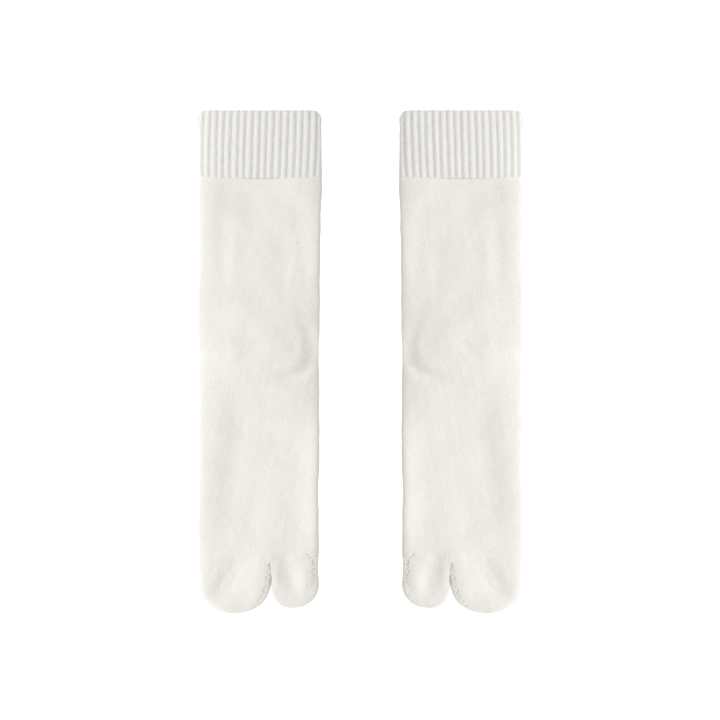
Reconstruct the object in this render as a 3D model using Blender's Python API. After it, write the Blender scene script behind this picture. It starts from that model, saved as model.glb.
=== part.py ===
"""A pair of split-toe (tabi) socks, laid flat side by side with the instep up and the toes towards -Y.

Metres, +Z up. The origin is on the surface that the socks lie on, in the middle of the pair. Sizes below are
in millimetres, and become metres where a mesh or an object is placed.

Each sock is worked out in its own frame. There u runs across it, from its outer edge (-) to its big-toe edge
(+), v runs along it, from the tip of the toes to the top of the cuff, and z is up. The right foot's sock lies
at -X with its big toe towards the middle of the pair, and the left foot's is its mirror image.
"""

import math
from collections import namedtuple

import bmesh
import bpy

MM = 0.001

# The pair
SOCK_LENGTH = 402.0
MIDDLES_APART = 162.4  # between the two socks' middle lines
SEAM_GAP = 0.3  # between pieces that are sewn or knitted together

# The cloth: a thick cotton knit, thicker again at the cuff's ribs
WALL = 2.2
CUFF_WALL = 2.7

# A flattened tube: its underside is flat between two folds, and its top is crowned
UNDER_FOLD = 4.5  # how far in from its edge the underside leaves the surface
LEAST_UNDER_FOLD = 1.5  # the same, inside the cloth
EDGE_HEIGHT = 0.45  # where its edge lies, as a share of its height
ELLIPSE = 2
CROWN = 3.3  # the power that shapes the top: more than an ellipse's is flatter with fuller edges
UNDER_STEPS = 5
FOLD_STEPS = 2
TUBE_TOP_STEPS = 18
POCKET_TOP_STEPS = 12

Section = namedtuple("Section", "v outer inner base top")

# The leg and foot, from the toe seam to the cuff. It steps up over the heel, which is folded under the leg.
LEG_FOOT_SECTIONS = (
    Section(58.0, -49.6, 48.2, 0.0, 9.8),
    Section(74.0, -49.5, 47.6, 0.0, 9.8),
    Section(96.0, -48.9, 47.6, 0.0, 9.8),
    Section(122.0, -48.3, 48.2, 0.0, 9.8),
    Section(150.0, -48.7, 48.4, 0.0, 9.8),
    Section(174.0, -48.7, 48.4, 0.0, 9.9),
    Section(192.0, -48.7, 48.1, 0.0, 10.6),
    Section(205.0, -48.6, 48.2, 0.0, 11.9),
    Section(213.0, -48.6, 48.3, 5.2, 12.4),
    Section(226.0, -48.7, 48.6, 5.2, 12.5),
    Section(240.0, -48.8, 48.8, 5.2, 12.4),
    Section(254.0, -48.8, 48.8, 5.2, 12.1),
    Section(268.0, -48.8, 48.8, 1.6, 10.9),
    Section(284.0, -48.8, 48.8, 0.0, 10.0),
    Section(308.0, -48.8, 49.3, 0.0, 9.9),
    Section(334.0, -48.8, 50.2, 0.0, 9.9),
)

# The seam between the foot and the toe pockets: a shallow V whose point is at the cleft between the toes
CLEFT_U = 9.0
TOE_SEAM_AT_OUTER_EDGE = 46.0
TOE_SEAM_AT_CLEFT = 40.4
TOE_SEAM_AT_INNER_EDGE = 46.2
FOOT_END = Section(TOE_SEAM_AT_CLEFT, -49.4, 48.2, 0.0, 9.8)

# The cuff, and its seam with the leg, which bows towards the toes
CUFF_SEAM_V = 350.0
CUFF_SEAM_BOW = 2.4
LEG_END = Section(CUFF_SEAM_V, -48.9, 50.8, 0.0, 9.9)
CUFF_FOOT = Section(CUFF_SEAM_V, -48.9, 50.8, 0.0, 10.3)
CUFF_TOP = Section(SOCK_LENGTH, -49.8, 50.6, 0.0, 10.5)
CUFF_CORNER = 4.0  # how far its top corners are rounded down
CUFF_CORNER_POWER = 24
CUFF_LIP = 1.3  # its top edge is rounded over this length
CUFF_HEIGHTS = (0.0, 0.5)  # its rings below the lip, as shares of its length
RIB_PITCH = 5.6
RIB_DEPTH = 0.9
RIB_PROFILE = (1.0, 0.3, 0.0, 0.3)  # how deep the surface lies at each step across a rib, from its groove
OUTLINE_STEPS = 8  # points on a smooth outline for each step of a rib, before it is cut into ribs

# The toe pockets: straight along the foot, then rounded to their tips
Lobe = namedtuple("Lobe", "outer outer_start inner inner_start tip_u tip_v")
TOES = Lobe(-49.2, 27.0, CLEFT_U - SEAM_GAP / 2, 23.0, -19.2, 0.0)
BIG_TOE = Lobe(CLEFT_U + SEAM_GAP / 2, 23.0, 48.0, 26.6, 27.1, 3.8)
LOBE_POWER = 2.2
LOBE_HEIGHT = 9.8
LOBE_TOP_LENGTH = 15.0  # how far from its tip the top starts to fall
LOBE_UNDER_LENGTH = 5.0  # and how far from it the underside starts to rise
LOBE_TURNS = (30.0, 50.0, 66.0, 78.0)  # degrees round the lobe where its rings lie
LOBE_END_TURN = 86.0
CLEFT_CROWN = 14.0  # CROWN where the pockets leave the foot, so that they stand close along the cleft

# The heel: two layers folded flat under the leg, its mouth at the sole's edge and its tip towards the cuff
HEEL_MOUTH_V = 206.3
HEEL_TIP_V = 252.0
HEEL_SHOULDER_V = 226.0
HEEL_HALF_WIDTH = 42.6
HEEL_ARC_STEPS = 14
HEEL_MOUTH_STEPS = 4
HeelLevel = namedtuple("HeelLevel", "z inset")
HEEL_LEVELS = (
    HeelLevel(0.0, 1.0),
    HeelLevel(0.6, 0.2),
    HeelLevel(1.8, 0.1),
    HeelLevel(2.45, 1.0),
    HeelLevel(3.1, 0.1),
    HeelLevel(4.3, 0.2),
    HeelLevel(4.9, 1.0),
)

# The opening in the leg and foot that the heel is knitted onto
HEEL_OPENING_HALF_WIDTH = HEEL_HALF_WIDTH + 0.4
HEEL_OPENING_FROM_V = HEEL_MOUTH_V - SEAM_GAP
HEEL_OPENING_TO_V = 213.6
HEEL_OPENING_BOTTOM = -2.0
HEEL_OPENING_TOP = 8.7

# The cloth's largest folds, each a soft trough (-) or ridge (+) along a line from (u1, v1) to (u2, v2)
Fold = namedtuple("Fold", "u1 v1 u2 v2 width height")
FOLDS = (
    # the ankle: a hollow by the big-toe edge, a crease that curls away from it, and the hump over the heel
    Fold(40.0, 214.0, 41.0, 205.0, 7.5, -1.5),
    Fold(37.0, 198.0, 25.0, 192.0, 6.0, -0.7),
    Fold(25.0, 192.0, 8.0, 187.0, 7.0, -0.4),
    Fold(-24.0, 236.0, 26.0, 212.0, 12.0, 0.5),
    Fold(-23.0, 221.0, -22.0, 207.0, 6.0, -0.6),
    # the leg and the foot
    Fold(-34.0, 338.0, -33.0, 234.0, 8.0, -0.5),
    Fold(-31.0, 178.0, -28.0, 80.0, 9.0, -0.5),
    Fold(37.0, 135.0, 36.0, 50.0, 7.0, 0.4),
    # the toes
    Fold(-19.0, 36.0, -34.0, 11.0, 6.0, -0.5),
    Fold(2.0, 45.0, -12.0, 9.0, 6.0, 0.3),
    Fold(20.0, 40.0, 31.0, 16.0, 5.0, -0.5),
)

Cloth = namedtuple("Cloth", "colour roughness")
CUFF_CLOTH = Cloth((0.78, 0.77, 0.74), 0.90)
PLAIN_CLOTH = Cloth((0.82, 0.80, 0.75), 0.92)
HEEL_CLOTH = Cloth((0.81, 0.79, 0.74), 0.92)
TOE_CLOTH = Cloth((0.83, 0.81, 0.76), 0.92)

Sock = namedtuple("Sock", "side mirror parent")


def rounded(s, power):
    """A superellipse's height at s, from 1 at its middle to 0 at s = -1 or 1."""
    return (1 - min(1.0, abs(s)) ** power) ** (1 / power)


def fold_height(u, v):
    """How far the folds lift or sink the top of the cloth at a place."""
    height = 0.0
    for fold in FOLDS:
        along_u = fold.u2 - fold.u1
        along_v = fold.v2 - fold.v1
        share = ((u - fold.u1) * along_u + (v - fold.v1) * along_v) / (along_u**2 + along_v**2)
        share = max(0.0, min(1.0, share))
        distance = math.hypot(u - fold.u1 - share * along_u, v - fold.v1 - share * along_v)
        height += fold.height * math.exp(-((distance / fold.width) ** 2))
    return height


def tube_outline(section, inset, top_steps, crowns=(CROWN, CROWN)):
    """(u, z, share) round a flattened tube, moved in by inset. share is how far the point belongs to the top
    of the cloth, which the folds move. crowns shape the top towards the outer and the inner edge."""
    outer = section.outer + inset
    inner = section.inner - inset
    base = section.base + inset
    top = section.top - inset
    middle = (outer + inner) / 2
    half = (inner - outer) / 2
    fold = min(max(UNDER_FOLD - inset, LEAST_UNDER_FOLD), half / 2)
    edge = base + EDGE_HEIGHT * (top - base)
    turns = [math.pi / 2 * i / FOLD_STEPS for i in range(1, FOLD_STEPS)]
    points = []
    for i in range(UNDER_STEPS + 1):
        across = 2 * i / UNDER_STEPS - 1
        points.append((middle + across * (half - fold), base, 0.0))
    for turn in turns:
        rise = (edge - base) * (1 - math.cos(turn))
        points.append((inner - fold + fold * math.sin(turn), base + rise, 0.0))
    for i in range(top_steps + 1):
        across = math.cos(math.pi * i / top_steps)
        height = rounded(across, crowns[1] if across > 0 else crowns[0])
        points.append((middle + half * across, edge + (top - edge) * height, height))
    for turn in reversed(turns):
        rise = (edge - base) * (1 - math.cos(turn))
        points.append((outer + fold - fold * math.sin(turn), base + rise, 0.0))
    return points


def placed(outline, v_of_u, folded=1.0):
    """The outline as (u, v, z) points, with this much of the folds in its top. v_of_u gives v at each u."""
    ring = []
    for u, z, share in outline:
        v = v_of_u(u)
        ring.append((u, v, z + folded * share * fold_height(u, v)))
    return ring


def even_points(points, count, start):
    """count points at equal steps round a closed outline, the first of them at points[start]."""
    loop = points[start:] + points[: start + 1]
    reached = [0.0]
    for (u1, z1), (u2, z2) in zip(loop, loop[1:]):
        reached.append(reached[-1] + math.hypot(u2 - u1, z2 - z1))
    even = []
    at = 0
    for i in range(count):
        want = reached[-1] * i / count
        while reached[at + 1] < want:
            at += 1
        share = (want - reached[at]) / (reached[at + 1] - reached[at])
        (u1, z1), (u2, z2) = loop[at], loop[at + 1]
        even.append((u1 + share * (u2 - u1), z1 + share * (z2 - z1)))
    return even


def blend(first, second, share):
    """The section between two others."""
    mixed = [a + share * (b - a) for a, b in zip(first, second)]
    return Section(*mixed)


def toe_seam_v(u):
    if u < CLEFT_U:
        share = (CLEFT_U - u) / (CLEFT_U - FOOT_END.outer)
        return TOE_SEAM_AT_CLEFT + share * (TOE_SEAM_AT_OUTER_EDGE - TOE_SEAM_AT_CLEFT)
    share = (u - CLEFT_U) / (FOOT_END.inner - CLEFT_U)
    return TOE_SEAM_AT_CLEFT + share * (TOE_SEAM_AT_INNER_EDGE - TOE_SEAM_AT_CLEFT)


def across_cuff(u):
    """-1 at the cuff's outer edge and 1 at its inner edge."""
    middle = (CUFF_FOOT.outer + CUFF_FOOT.inner) / 2
    return (u - middle) / ((CUFF_FOOT.inner - CUFF_FOOT.outer) / 2)


def cuff_seam_v(u):
    return CUFF_SEAM_V - CUFF_SEAM_BOW * rounded(across_cuff(u), ELLIPSE)


def cuff_top_v(u):
    return SOCK_LENGTH - CUFF_CORNER * min(1.0, abs(across_cuff(u))) ** CUFF_CORNER_POWER


def leg_foot_rings():
    """Out along the outside from the toe seam to the cuff, and back along the inside."""

    def ring(section, inset, v_of_u):
        return placed(tube_outline(section, inset, TUBE_TOP_STEPS), v_of_u)

    def wall_rings(inset):
        foot_end = ring(FOOT_END, inset, toe_seam_v)
        between = [ring(section, inset, lambda u, v=section.v: v) for section in LEG_FOOT_SECTIONS]
        leg_end = ring(LEG_END, inset, lambda u: cuff_seam_v(u) - SEAM_GAP)
        return [foot_end, *between, leg_end]

    return wall_rings(0.0) + wall_rings(WALL)[::-1]


def cuff_rings():
    """Up the ribbed outside, over the lip and down the smooth inside."""
    outline = tube_outline(blend(CUFF_FOOT, CUFF_TOP, 0.5), 0.0, TUBE_TOP_STEPS)
    length = sum(math.dist(a[:2], b[:2]) for a, b in zip(outline, outline[1:] + outline[:1]))
    ribs = round(length / RIB_PITCH)
    count = ribs * len(RIB_PROFILE)
    top_steps = OUTLINE_STEPS * TUBE_TOP_STEPS
    top_middle = UNDER_STEPS + FOLD_STEPS + top_steps // 2

    def ring(height, inset, ribbed, v_of_u):
        def even_outline(more):
            smooth = tube_outline(blend(CUFF_FOOT, CUFF_TOP, height), inset + more, top_steps)
            return even_points([point[:2] for point in smooth], count, top_middle)

        crests = even_outline(0.0)
        grooves = even_outline(RIB_DEPTH)
        points = []
        for i, (crest, groove) in enumerate(zip(crests, grooves)):
            deep = RIB_PROFILE[i % len(RIB_PROFILE)] if ribbed else 0.0
            u = crest[0] + deep * (groove[0] - crest[0])
            z = crest[1] + deep * (groove[1] - crest[1])
            points.append((u, v_of_u(u), z))
        return points

    def height_v(height):
        return lambda u: cuff_seam_v(u) + height * (cuff_top_v(u) - CUFF_LIP - cuff_seam_v(u))

    outside = [ring(height, 0.0, True, height_v(height)) for height in (*CUFF_HEIGHTS, 1.0)]
    lip = [ring(1.0, CUFF_WALL / 2, False, cuff_top_v)]
    inside = [ring(height, CUFF_WALL, False, height_v(height)) for height in (1.0, 0.0)]
    return outside + lip + inside


def lobe_rings(lobe, cleft_side):
    """A toe pocket, from the tip of its outside to its mouth and back in to the tip of its inside."""

    def edge(side, start, v, inset):
        tip_v = lobe.tip_v + inset
        if v >= start:
            return side
        across = rounded((start - v) / (start - tip_v), LOBE_POWER)
        return lobe.tip_u + (side - lobe.tip_u) * across

    def section(v, inset):
        """The pocket's section at v, already moved in by inset."""
        reach = v - lobe.tip_v - inset
        middle = EDGE_HEIGHT * LOBE_HEIGHT
        top = rounded(max(0.0, 1 - reach / (LOBE_TOP_LENGTH - inset)), ELLIPSE)
        under = rounded(max(0.0, 1 - reach / (LOBE_UNDER_LENGTH - inset)), ELLIPSE)
        return Section(
            v,
            edge(lobe.outer + inset, lobe.outer_start, v, inset),
            edge(lobe.inner - inset, lobe.inner_start, v, inset),
            middle - (middle - inset) * under,
            middle + (LOBE_HEIGHT - inset - middle) * top,
        )

    def ring(v, inset, v_of_u):
        from_crotch = (v - BIG_TOE.outer_start) / (TOE_SEAM_AT_CLEFT - BIG_TOE.outer_start)
        crowns = [CROWN, CROWN]
        crowns[cleft_side] += max(0.0, min(1.0, from_crotch)) * (CLEFT_CROWN - CROWN)
        folded = min(1.0, (v - lobe.tip_v - inset) / LOBE_TOP_LENGTH)
        return placed(tube_outline(section(v, inset), 0.0, POCKET_TOP_STEPS, crowns), v_of_u, folded)

    def wall_rings(inset):
        start = min(lobe.outer_start, lobe.inner_start)
        deep = start - lobe.tip_v - inset
        rings = [ring(TOE_SEAM_AT_CLEFT, inset, lambda u: toe_seam_v(u) - SEAM_GAP)]
        stations = [(start + TOE_SEAM_AT_CLEFT) / 2, start]
        stations += [start - deep * math.sin(math.radians(turn)) for turn in LOBE_TURNS]
        stations.append(start - deep * math.sin(math.radians(LOBE_END_TURN)))
        for v in stations:
            rings.append(ring(v, inset, lambda u, v=v: v))
        return rings

    return wall_rings(0.0)[::-1] + wall_rings(WALL)


def heel_outline(inset):
    """(u, v) round the heel's U, moved in by inset."""
    half = HEEL_HALF_WIDTH - inset
    mouth = HEEL_MOUTH_V + inset
    depth = HEEL_TIP_V - HEEL_SHOULDER_V - inset
    points = []
    for i in range(HEEL_MOUTH_STEPS + 1):
        points.append((half * (2 * i / HEEL_MOUTH_STEPS - 1), mouth))
    for i in range(HEEL_ARC_STEPS + 1):
        turn = math.pi * i / HEEL_ARC_STEPS
        points.append((half * math.cos(turn), HEEL_SHOULDER_V + depth * math.sin(turn)))
    return points


def heel_rings():
    return [[(u, v, level.z) for u, v in heel_outline(level.inset)] for level in HEEL_LEVELS]


def skin_mesh(name, rings, capped, origin_v, mirror):
    """A closed mesh over the rings: their ends capped, or the last joined to the first."""
    mesh = bpy.data.meshes.new(name)
    work = bmesh.new()
    rows = []
    for ring in rings:
        rows.append([work.verts.new((mirror * u * MM, (v - origin_v) * MM, z * MM)) for u, v, z in ring])
    pairs = list(zip(rows, rows[1:]))
    if capped:
        work.faces.new(rows[0])
        work.faces.new(rows[-1])
    else:
        pairs.append((rows[-1], rows[0]))
    for first, second in pairs:
        for i in range(len(first)):
            j = (i + 1) % len(first)
            work.faces.new((first[i], first[j], second[j], second[i]))
    bmesh.ops.recalc_face_normals(work, faces=work.faces)
    work.to_mesh(mesh)
    work.free()
    mesh.shade_smooth()
    return mesh


def cloth_material(name, cloth):
    material = bpy.data.materials.new(name)
    material.use_nodes = True
    shader = material.node_tree.nodes["Principled BSDF"]
    shader.inputs["Base Color"].default_value = (*cloth.colour, 1.0)
    shader.inputs["Roughness"].default_value = cloth.roughness
    shader.inputs["Metallic"].default_value = 0.0
    return material


def add_piece(sock, piece, rings, capped, origin_v, cloth):
    name = f"{sock.side}_{piece}"
    mesh = skin_mesh(name, rings, capped, origin_v, sock.mirror)
    mesh.materials.append(cloth_material(name, cloth))
    thing = bpy.data.objects.new(name, mesh)
    bpy.context.scene.collection.objects.link(thing)
    thing.parent = sock.parent
    thing.location = (0.0, origin_v * MM, 0.0)
    return thing


def cut_heel_opening(sock, leg_foot):
    """Opens the back of the leg and foot where the heel is knitted on."""
    low = (-HEEL_OPENING_HALF_WIDTH, HEEL_OPENING_FROM_V, HEEL_OPENING_BOTTOM)
    high = (HEEL_OPENING_HALF_WIDTH, HEEL_OPENING_TO_V, HEEL_OPENING_TOP)
    mesh = bpy.data.meshes.new("heel_opening")
    work = bmesh.new()
    bmesh.ops.create_cube(work, size=1.0)
    for corner in work.verts:
        corner.co = [(a + b) / 2 * MM + side * (b - a) * MM for a, b, side in zip(low, high, corner.co)]
    work.to_mesh(mesh)
    work.free()
    cutter = bpy.data.objects.new(f"{sock.side}_heel_opening", mesh)
    bpy.context.scene.collection.objects.link(cutter)
    cutter.parent = sock.parent
    cutter.display_type = "WIRE"
    cutter.hide_render = True
    opening = leg_foot.modifiers.new("heel_opening", "BOOLEAN")
    opening.operation = "DIFFERENCE"
    opening.solver = "EXACT"
    opening.object = cutter


def add_sock(side, mirror):
    parent = bpy.data.objects.new(f"{side}_sock", None)
    bpy.context.scene.collection.objects.link(parent)
    parent.location = (-mirror * MIDDLES_APART / 2 * MM, -SOCK_LENGTH / 2 * MM, 0.0)
    sock = Sock(side, mirror, parent)
    add_piece(sock, "cuff", cuff_rings(), False, CUFF_SEAM_V, CUFF_CLOTH)
    leg_foot = add_piece(sock, "leg_foot", leg_foot_rings(), False, TOE_SEAM_AT_CLEFT, PLAIN_CLOTH)
    cut_heel_opening(sock, leg_foot)
    add_piece(sock, "heel", heel_rings(), True, HEEL_MOUTH_V, HEEL_CLOTH)
    add_piece(sock, "toes", lobe_rings(TOES, 1), True, TOES.tip_v, TOE_CLOTH)
    add_piece(sock, "big_toe", lobe_rings(BIG_TOE, 0), True, BIG_TOE.tip_v, TOE_CLOTH)


def main():
    for thing in list(bpy.data.objects):
        bpy.data.objects.remove(thing)
    add_sock("right", 1)
    add_sock("left", -1)


main()
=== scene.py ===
"""The looks of a pair of split-toe (tabi) socks: thick creamy cotton knit with a ribbed cuff, laid flat.

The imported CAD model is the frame. Each of its ten pieces is replaced by a fine knitted shell of the same
form, with the cloth's creases, ribs and seams in the mesh and its stitches and nap in the material.

Shapes are worked out in each sock's own frame, in millimetres: u runs across it, from its outer edge (-) to
its big-toe edge (+), v runs along it, from the tip of the toes to the top of the cuff, and z is up from the
surface that it lies on. The left foot's sock is the mirror image of the right foot's.
"""

import math
from collections import namedtuple

import bpy
import numpy as np
from mathutils.bvhtree import BVHTree
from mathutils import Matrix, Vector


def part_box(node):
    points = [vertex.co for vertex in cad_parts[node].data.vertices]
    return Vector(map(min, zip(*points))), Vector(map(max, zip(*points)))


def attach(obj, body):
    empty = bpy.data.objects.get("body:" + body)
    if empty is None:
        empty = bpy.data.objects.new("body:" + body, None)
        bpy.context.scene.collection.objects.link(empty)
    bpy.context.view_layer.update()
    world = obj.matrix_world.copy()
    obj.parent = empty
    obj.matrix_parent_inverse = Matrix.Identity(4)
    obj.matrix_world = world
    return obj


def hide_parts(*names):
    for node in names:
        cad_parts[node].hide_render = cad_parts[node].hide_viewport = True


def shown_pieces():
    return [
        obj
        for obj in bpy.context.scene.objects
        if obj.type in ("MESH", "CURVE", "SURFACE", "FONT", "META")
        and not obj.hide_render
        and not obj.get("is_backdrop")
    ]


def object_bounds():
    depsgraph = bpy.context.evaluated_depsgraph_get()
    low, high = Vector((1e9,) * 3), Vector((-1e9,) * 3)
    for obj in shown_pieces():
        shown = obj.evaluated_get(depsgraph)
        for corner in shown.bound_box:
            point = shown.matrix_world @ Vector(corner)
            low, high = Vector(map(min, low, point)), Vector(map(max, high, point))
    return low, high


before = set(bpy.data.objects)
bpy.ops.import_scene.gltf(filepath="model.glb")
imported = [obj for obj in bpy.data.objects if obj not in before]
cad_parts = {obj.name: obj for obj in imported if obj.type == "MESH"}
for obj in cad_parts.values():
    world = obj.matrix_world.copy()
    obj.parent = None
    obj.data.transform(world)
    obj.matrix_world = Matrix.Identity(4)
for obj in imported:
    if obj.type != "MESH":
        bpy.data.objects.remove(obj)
CAD_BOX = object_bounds()

MM = 0.001

# ===== Sizes =====

CLEFT_U = 9.0  # the line between the big toe and the other toes
SEAM_GAP = 0.3  # the CAD's gap between its pieces, which the shells close
WALL = 2.2
CUFF_WALL = 2.7
THICKNESS = 9.8  # of the flattened tube: two walls and the space between them
BASE_SLACK = 0.02

# A flattened tube's section
UNDER_FOLD = 4.5  # how far in from its edges the underside leaves the surface
LEAST_UNDER_FOLD = 1.5
EDGE_HEIGHT = 0.45  # where its edges lie, as a share of its height
LEAST_RISE = 0.1
UP_SHARPNESS = 2.5
Crowns = namedtuple("Crowns", "outer inner")
CROWNS = Crowns(2.9, 5.0)  # the powers that shape the top: 2 is a dome, and more is flatter with fuller edges
ELLIPSE = 2

# How the leg and foot steps over the heel, where its section is more of a dome
HeightAt = namedtuple("HeightAt", "v base top outer_crown inner_crown")
HEIGHTS = (
    HeightAt(40, 0, THICKNESS, 2.9, 5),
    HeightAt(75, 0, THICKNESS, 4.4, 9.5),
    HeightAt(150, 0, THICKNESS, 4.4, 9),
    HeightAt(180, 0, 10.3, 2.2, 3.6),
    HeightAt(192, 0, 11.4, 1.9, 2.5),
    HeightAt(205, 0, 13, 1.8, 2.2),
    HeightAt(213, 5.2, 13.8, 1.8, 2.2),
    HeightAt(240, 5.2, 13.8, 1.9, 2.5),
    HeightAt(254, 5.2, 12.9, 2.1, 4),
    HeightAt(268, 1.6, 11.4, 2.5, 6.5),
    HeightAt(284, 0, 10.3, 2.7, 9),
    HeightAt(320, 0, 9.9, 3.6, 7),
    HeightAt(336, 0, 9.9, 3.8, 4.4),
    HeightAt(350, 0, 9.9, *CROWNS),
)
EDGE_SMOOTHING = 8.0
HEIGHT_SMOOTHING = 3.0

# The seam with the toe pockets, a shallow V, and the bowed seam with the cuff
TOE_SEAM_AT_OUTER_EDGE = 46.0
TOE_SEAM_AT_CLEFT = 40.4
TOE_SEAM_AT_INNER_EDGE = 46.2
TOE_SEAM_ROUNDING = 2.0
FOOT_HALF_WIDTH = 48.8
SEAM_FADE = 34.0  # how far from a seam the rows of knitting still follow it
CUFF_SEAM_V = 350.0
CUFF_SEAM_BOW = 2.4
LEG_FOOT_FROM = TOE_SEAM_AT_CLEFT
LEG_FOOT_TO = CUFF_SEAM_V - SEAM_GAP

# The rounded edge of a piece at a seam, as steps in from its end
EdgeStep = namedtuple("EdgeStep", "along inset")
SEAM_EDGE = (EdgeStep(0.0, 0.06), EdgeStep(0.35, 0.01), EdgeStep(0.8, 0.0))
SEAM_LEAD = 0.6  # from there to the first even row

# The heel opening
HEEL_OPENING_HALF_WIDTH = 43.0
HEEL_OPENING_V = (206.0, 213.6)
OPENING_CLEAR = 3.0  # how far the inside's coarse rows stay from it, and from the seams
INSIDE_CLEAR = 2.0

# How fine the meshes are
LEG_COLUMNS = 216
LEG_ROW = 1.02
INSIDE_ROW = 7.0
EDGE_ROW = 1.0  # between the CAD sections that the leg and foot's edges are read from
OUTLINE_STEPS = 480
PATH_STEPS = 14
WAY_REACH = 0.5  # how far to each side a line's direction is taken over
SHARP_ANGLE = 55.0

# The creases: soft troughs (-) and ridges (+) along smooth paths through a few points
Crease = namedtuple("Crease", "width height path")
CREASE_STEP = 1.4  # how finely a crease's path is followed
CREASE_END = 0.05  # how far into its half wave of height a crease's path starts and ends
CREASE_TAPER = 0.75  # below 1, it grows faster to its full height
LEG_CREASES = (
    # the ankle: a hollow by the big-toe edge, a crease that curls away from it, and a hump over the heel
    Crease(8.5, -1.5, ((44, 226), (43, 209.5), (41, 190))),
    Crease(5, -1.3, ((33, 240), (43.5, 214), (40, 197), (25, 189.5), (5, 185))),
    Crease(4, 0.55, ((28.5, 231), (35.5, 214), (31.5, 202), (18, 197))),
    Crease(6, -1.4, ((42, 200), (30, 189.5), (12, 184.5))),
    Crease(12, 0.7, ((-26, 239), (4, 225), (24, 210))),
    Crease(4.2, -0.3, ((-14, 225), (-16, 215), (-15, 205))),
    Crease(8.5, 1, ((-21, 238), (-18, 216), (-18, 190))),
    Crease(5, -0.4, ((14, 246), (2, 238), (-13, 236))),
    Crease(4.5, 0.35, ((12, 206), (2, 201), (-9, 203))),
    Crease(4, -0.4, ((0, 214), (-12, 205), (-19, 193))),
    Crease(5, -0.35, ((6, 184), (-8, 180), (-24, 184))),
    # the leg
    Crease(9, -1.3, ((-26, 352), (-28, 300), (-29, 258))),
    Crease(18, -1.9, ((-9, 366), (-9, 334), (-6, 300))),
    Crease(16, -1.4, ((15, 364), (16, 334), (14, 304))),
    Crease(5, 0.5, ((-21, 312), (-21.5, 280), (-20, 256))),
    Crease(4.5, -0.4, ((19.5, 279), (19, 263), (20.5, 249))),
    Crease(5, 0.45, ((27.5, 297), (29.5, 282), (27, 266))),
    Crease(10, 0.4, ((10, 346), (6, 312), (9, 280))),
    Crease(6, -0.35, ((34, 330), (31, 312), (34, 294))),
    Crease(4.5, -0.3, ((-6, 300), (-11, 288), (-9, 274))),
    Crease(9, 1.4, ((48.5, 322), (48, 288), (47, 252))),
    # the foot
    Crease(11, -2, ((-18, 179), (-20, 130), (-30, 50))),
    Crease(14, -1.8, ((-2, 176), (-2, 130), (-10, 60))),
    Crease(12.5, 4, ((50, 156), (49, 94), (48, 40))),
    Crease(6, -0.35, ((18, 168), (14, 138), (17, 112))),
    Crease(8, 0.35, ((-6, 176), (-2, 140), (-7, 96))),
    Crease(4, -0.6, ((13, 48), (21, 45.5), (28, 48))),
    Crease(1.6, 0.3, ((24, 42.8), (29, 43.6), (35, 44.2))),
    Crease(5, -0.3, ((4, 92), (-4, 80), (-6, 64))),
)
# The same on the hidden side, which lies on the surface, so there they are all troughs
UNDER_CREASES = (
    Crease(5, -0.50, ((-36, 198), (-10, 190), (22, 196))),
    Crease(4, -0.35, ((30, 182), (10, 176), (-14, 181))),
    Crease(5.5, -0.40, ((-24, 150), (-20, 118), (-26, 84))),
    Crease(4.5, -0.30, ((16, 130), (22, 104), (18, 72))),
    Crease(5, -0.40, ((20, 336), (24, 312), (18, 290))),
    Crease(4, -0.30, ((-28, 322), (-22, 302), (-27, 284))),
)
TOE_CREASES = (
    Crease(8.5, -2.5, ((-15, 44), (-25, 26), (-37, 6))),
    Crease(9, 1.5, ((7, 52), (2, 28), (-7, 1))),
    Crease(4, -0.35, ((-34, 42), (-38, 33), (-42, 27))),
)
BIG_TOE_CREASES = (
    Crease(6.5, -1.4, ((22, 46), (25.5, 30), (27.5, 12))),
    Crease(3.4, 0.7, ((15, 40), (14.4, 29), (16, 18))),
    Crease(5, 0.7, ((37, 40), (37.5, 28), (35, 15))),
)

TOP_CREASES = LEG_CREASES + TOE_CREASES + BIG_TOE_CREASES

# The cloth is never quite even: waves of these lengths and heights run through it
Ripple = namedtuple("Ripple", "shortest longest height")
CLOTH_RIPPLES = (Ripple(22.0, 60.0, 0.26), Ripple(7.0, 16.0, 0.04), Ripple(2.2, 3.4, 0.016))
RIPPLE_WAVES = 26
RIPPLE_SEED = 41
RIPPLE_LEAN = 0.5  # how much the waves run upwards as well
UNDER_RIPPLE_SHARE = 0.25
CLEFT_CALM = 2.0  # the two pockets press together at the cleft, so the ripples end this near to it
SIDE_SHARPNESS = 1.5

# The cuff
RIBS = 37
RIB_STEPS = 12
RIB_DEPTH = 0.78
RIB_POWER = 1.5  # the shape of a rib's cord: 1 is round with sharp grooves, and 2 is a wave
GROOVE_PAINTED_SHADE = 0.38  # how far the grooves are painted towards the rib knit's gap colour, a painted shade where the purl loops lie deep
RIB_RIPPLES = (Ripple(7.0, 16.0, 0.06), Ripple(1.8, 3.2, 0.055))
RIB_END_DEPTH = 0.75  # what is left of the ribs' depth at the cuff's rounded top edge
RIB_TWIST = 2.1  # how far the ribs lean towards the big-toe edge, from the seam to the top
RIB_WOBBLE = 0.22  # how far a rib strays to its sides, and how this grows and shrinks up the cuff
RIB_WAVE = 0.6
RIB_WAVE_TURN = 5.0
RIB_AHEAD = 0.2
RIB_FOOT_DEPTH = 0.8
RIB_END_FADE = 2.4
WALES_PER_RIB = 4
CUFF_SEED = 7
CUFF_ROW = 0.75
CUFF_FIRST_ROW = 1.6
CUFF_FOOT_LOWER = 0.2  # how much thinner the cuff is at the seam than at its top
CUFF_CORNERS = Crowns(5.0, 7.5)  # how round its top corners are
CUFF_LIP = 1.1
LIP_ROW = 0.5
CUFF_INSIDE_HEIGHTS = (1.0, 0.9, 0.7, 0.5, 0.3, 0.1, 0.0)
CUFF_INSIDE_ROW = 8.0
LIP_TURNS = range(20, 180, 20)  # degrees round its top edge, from the outside to the inside

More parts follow.
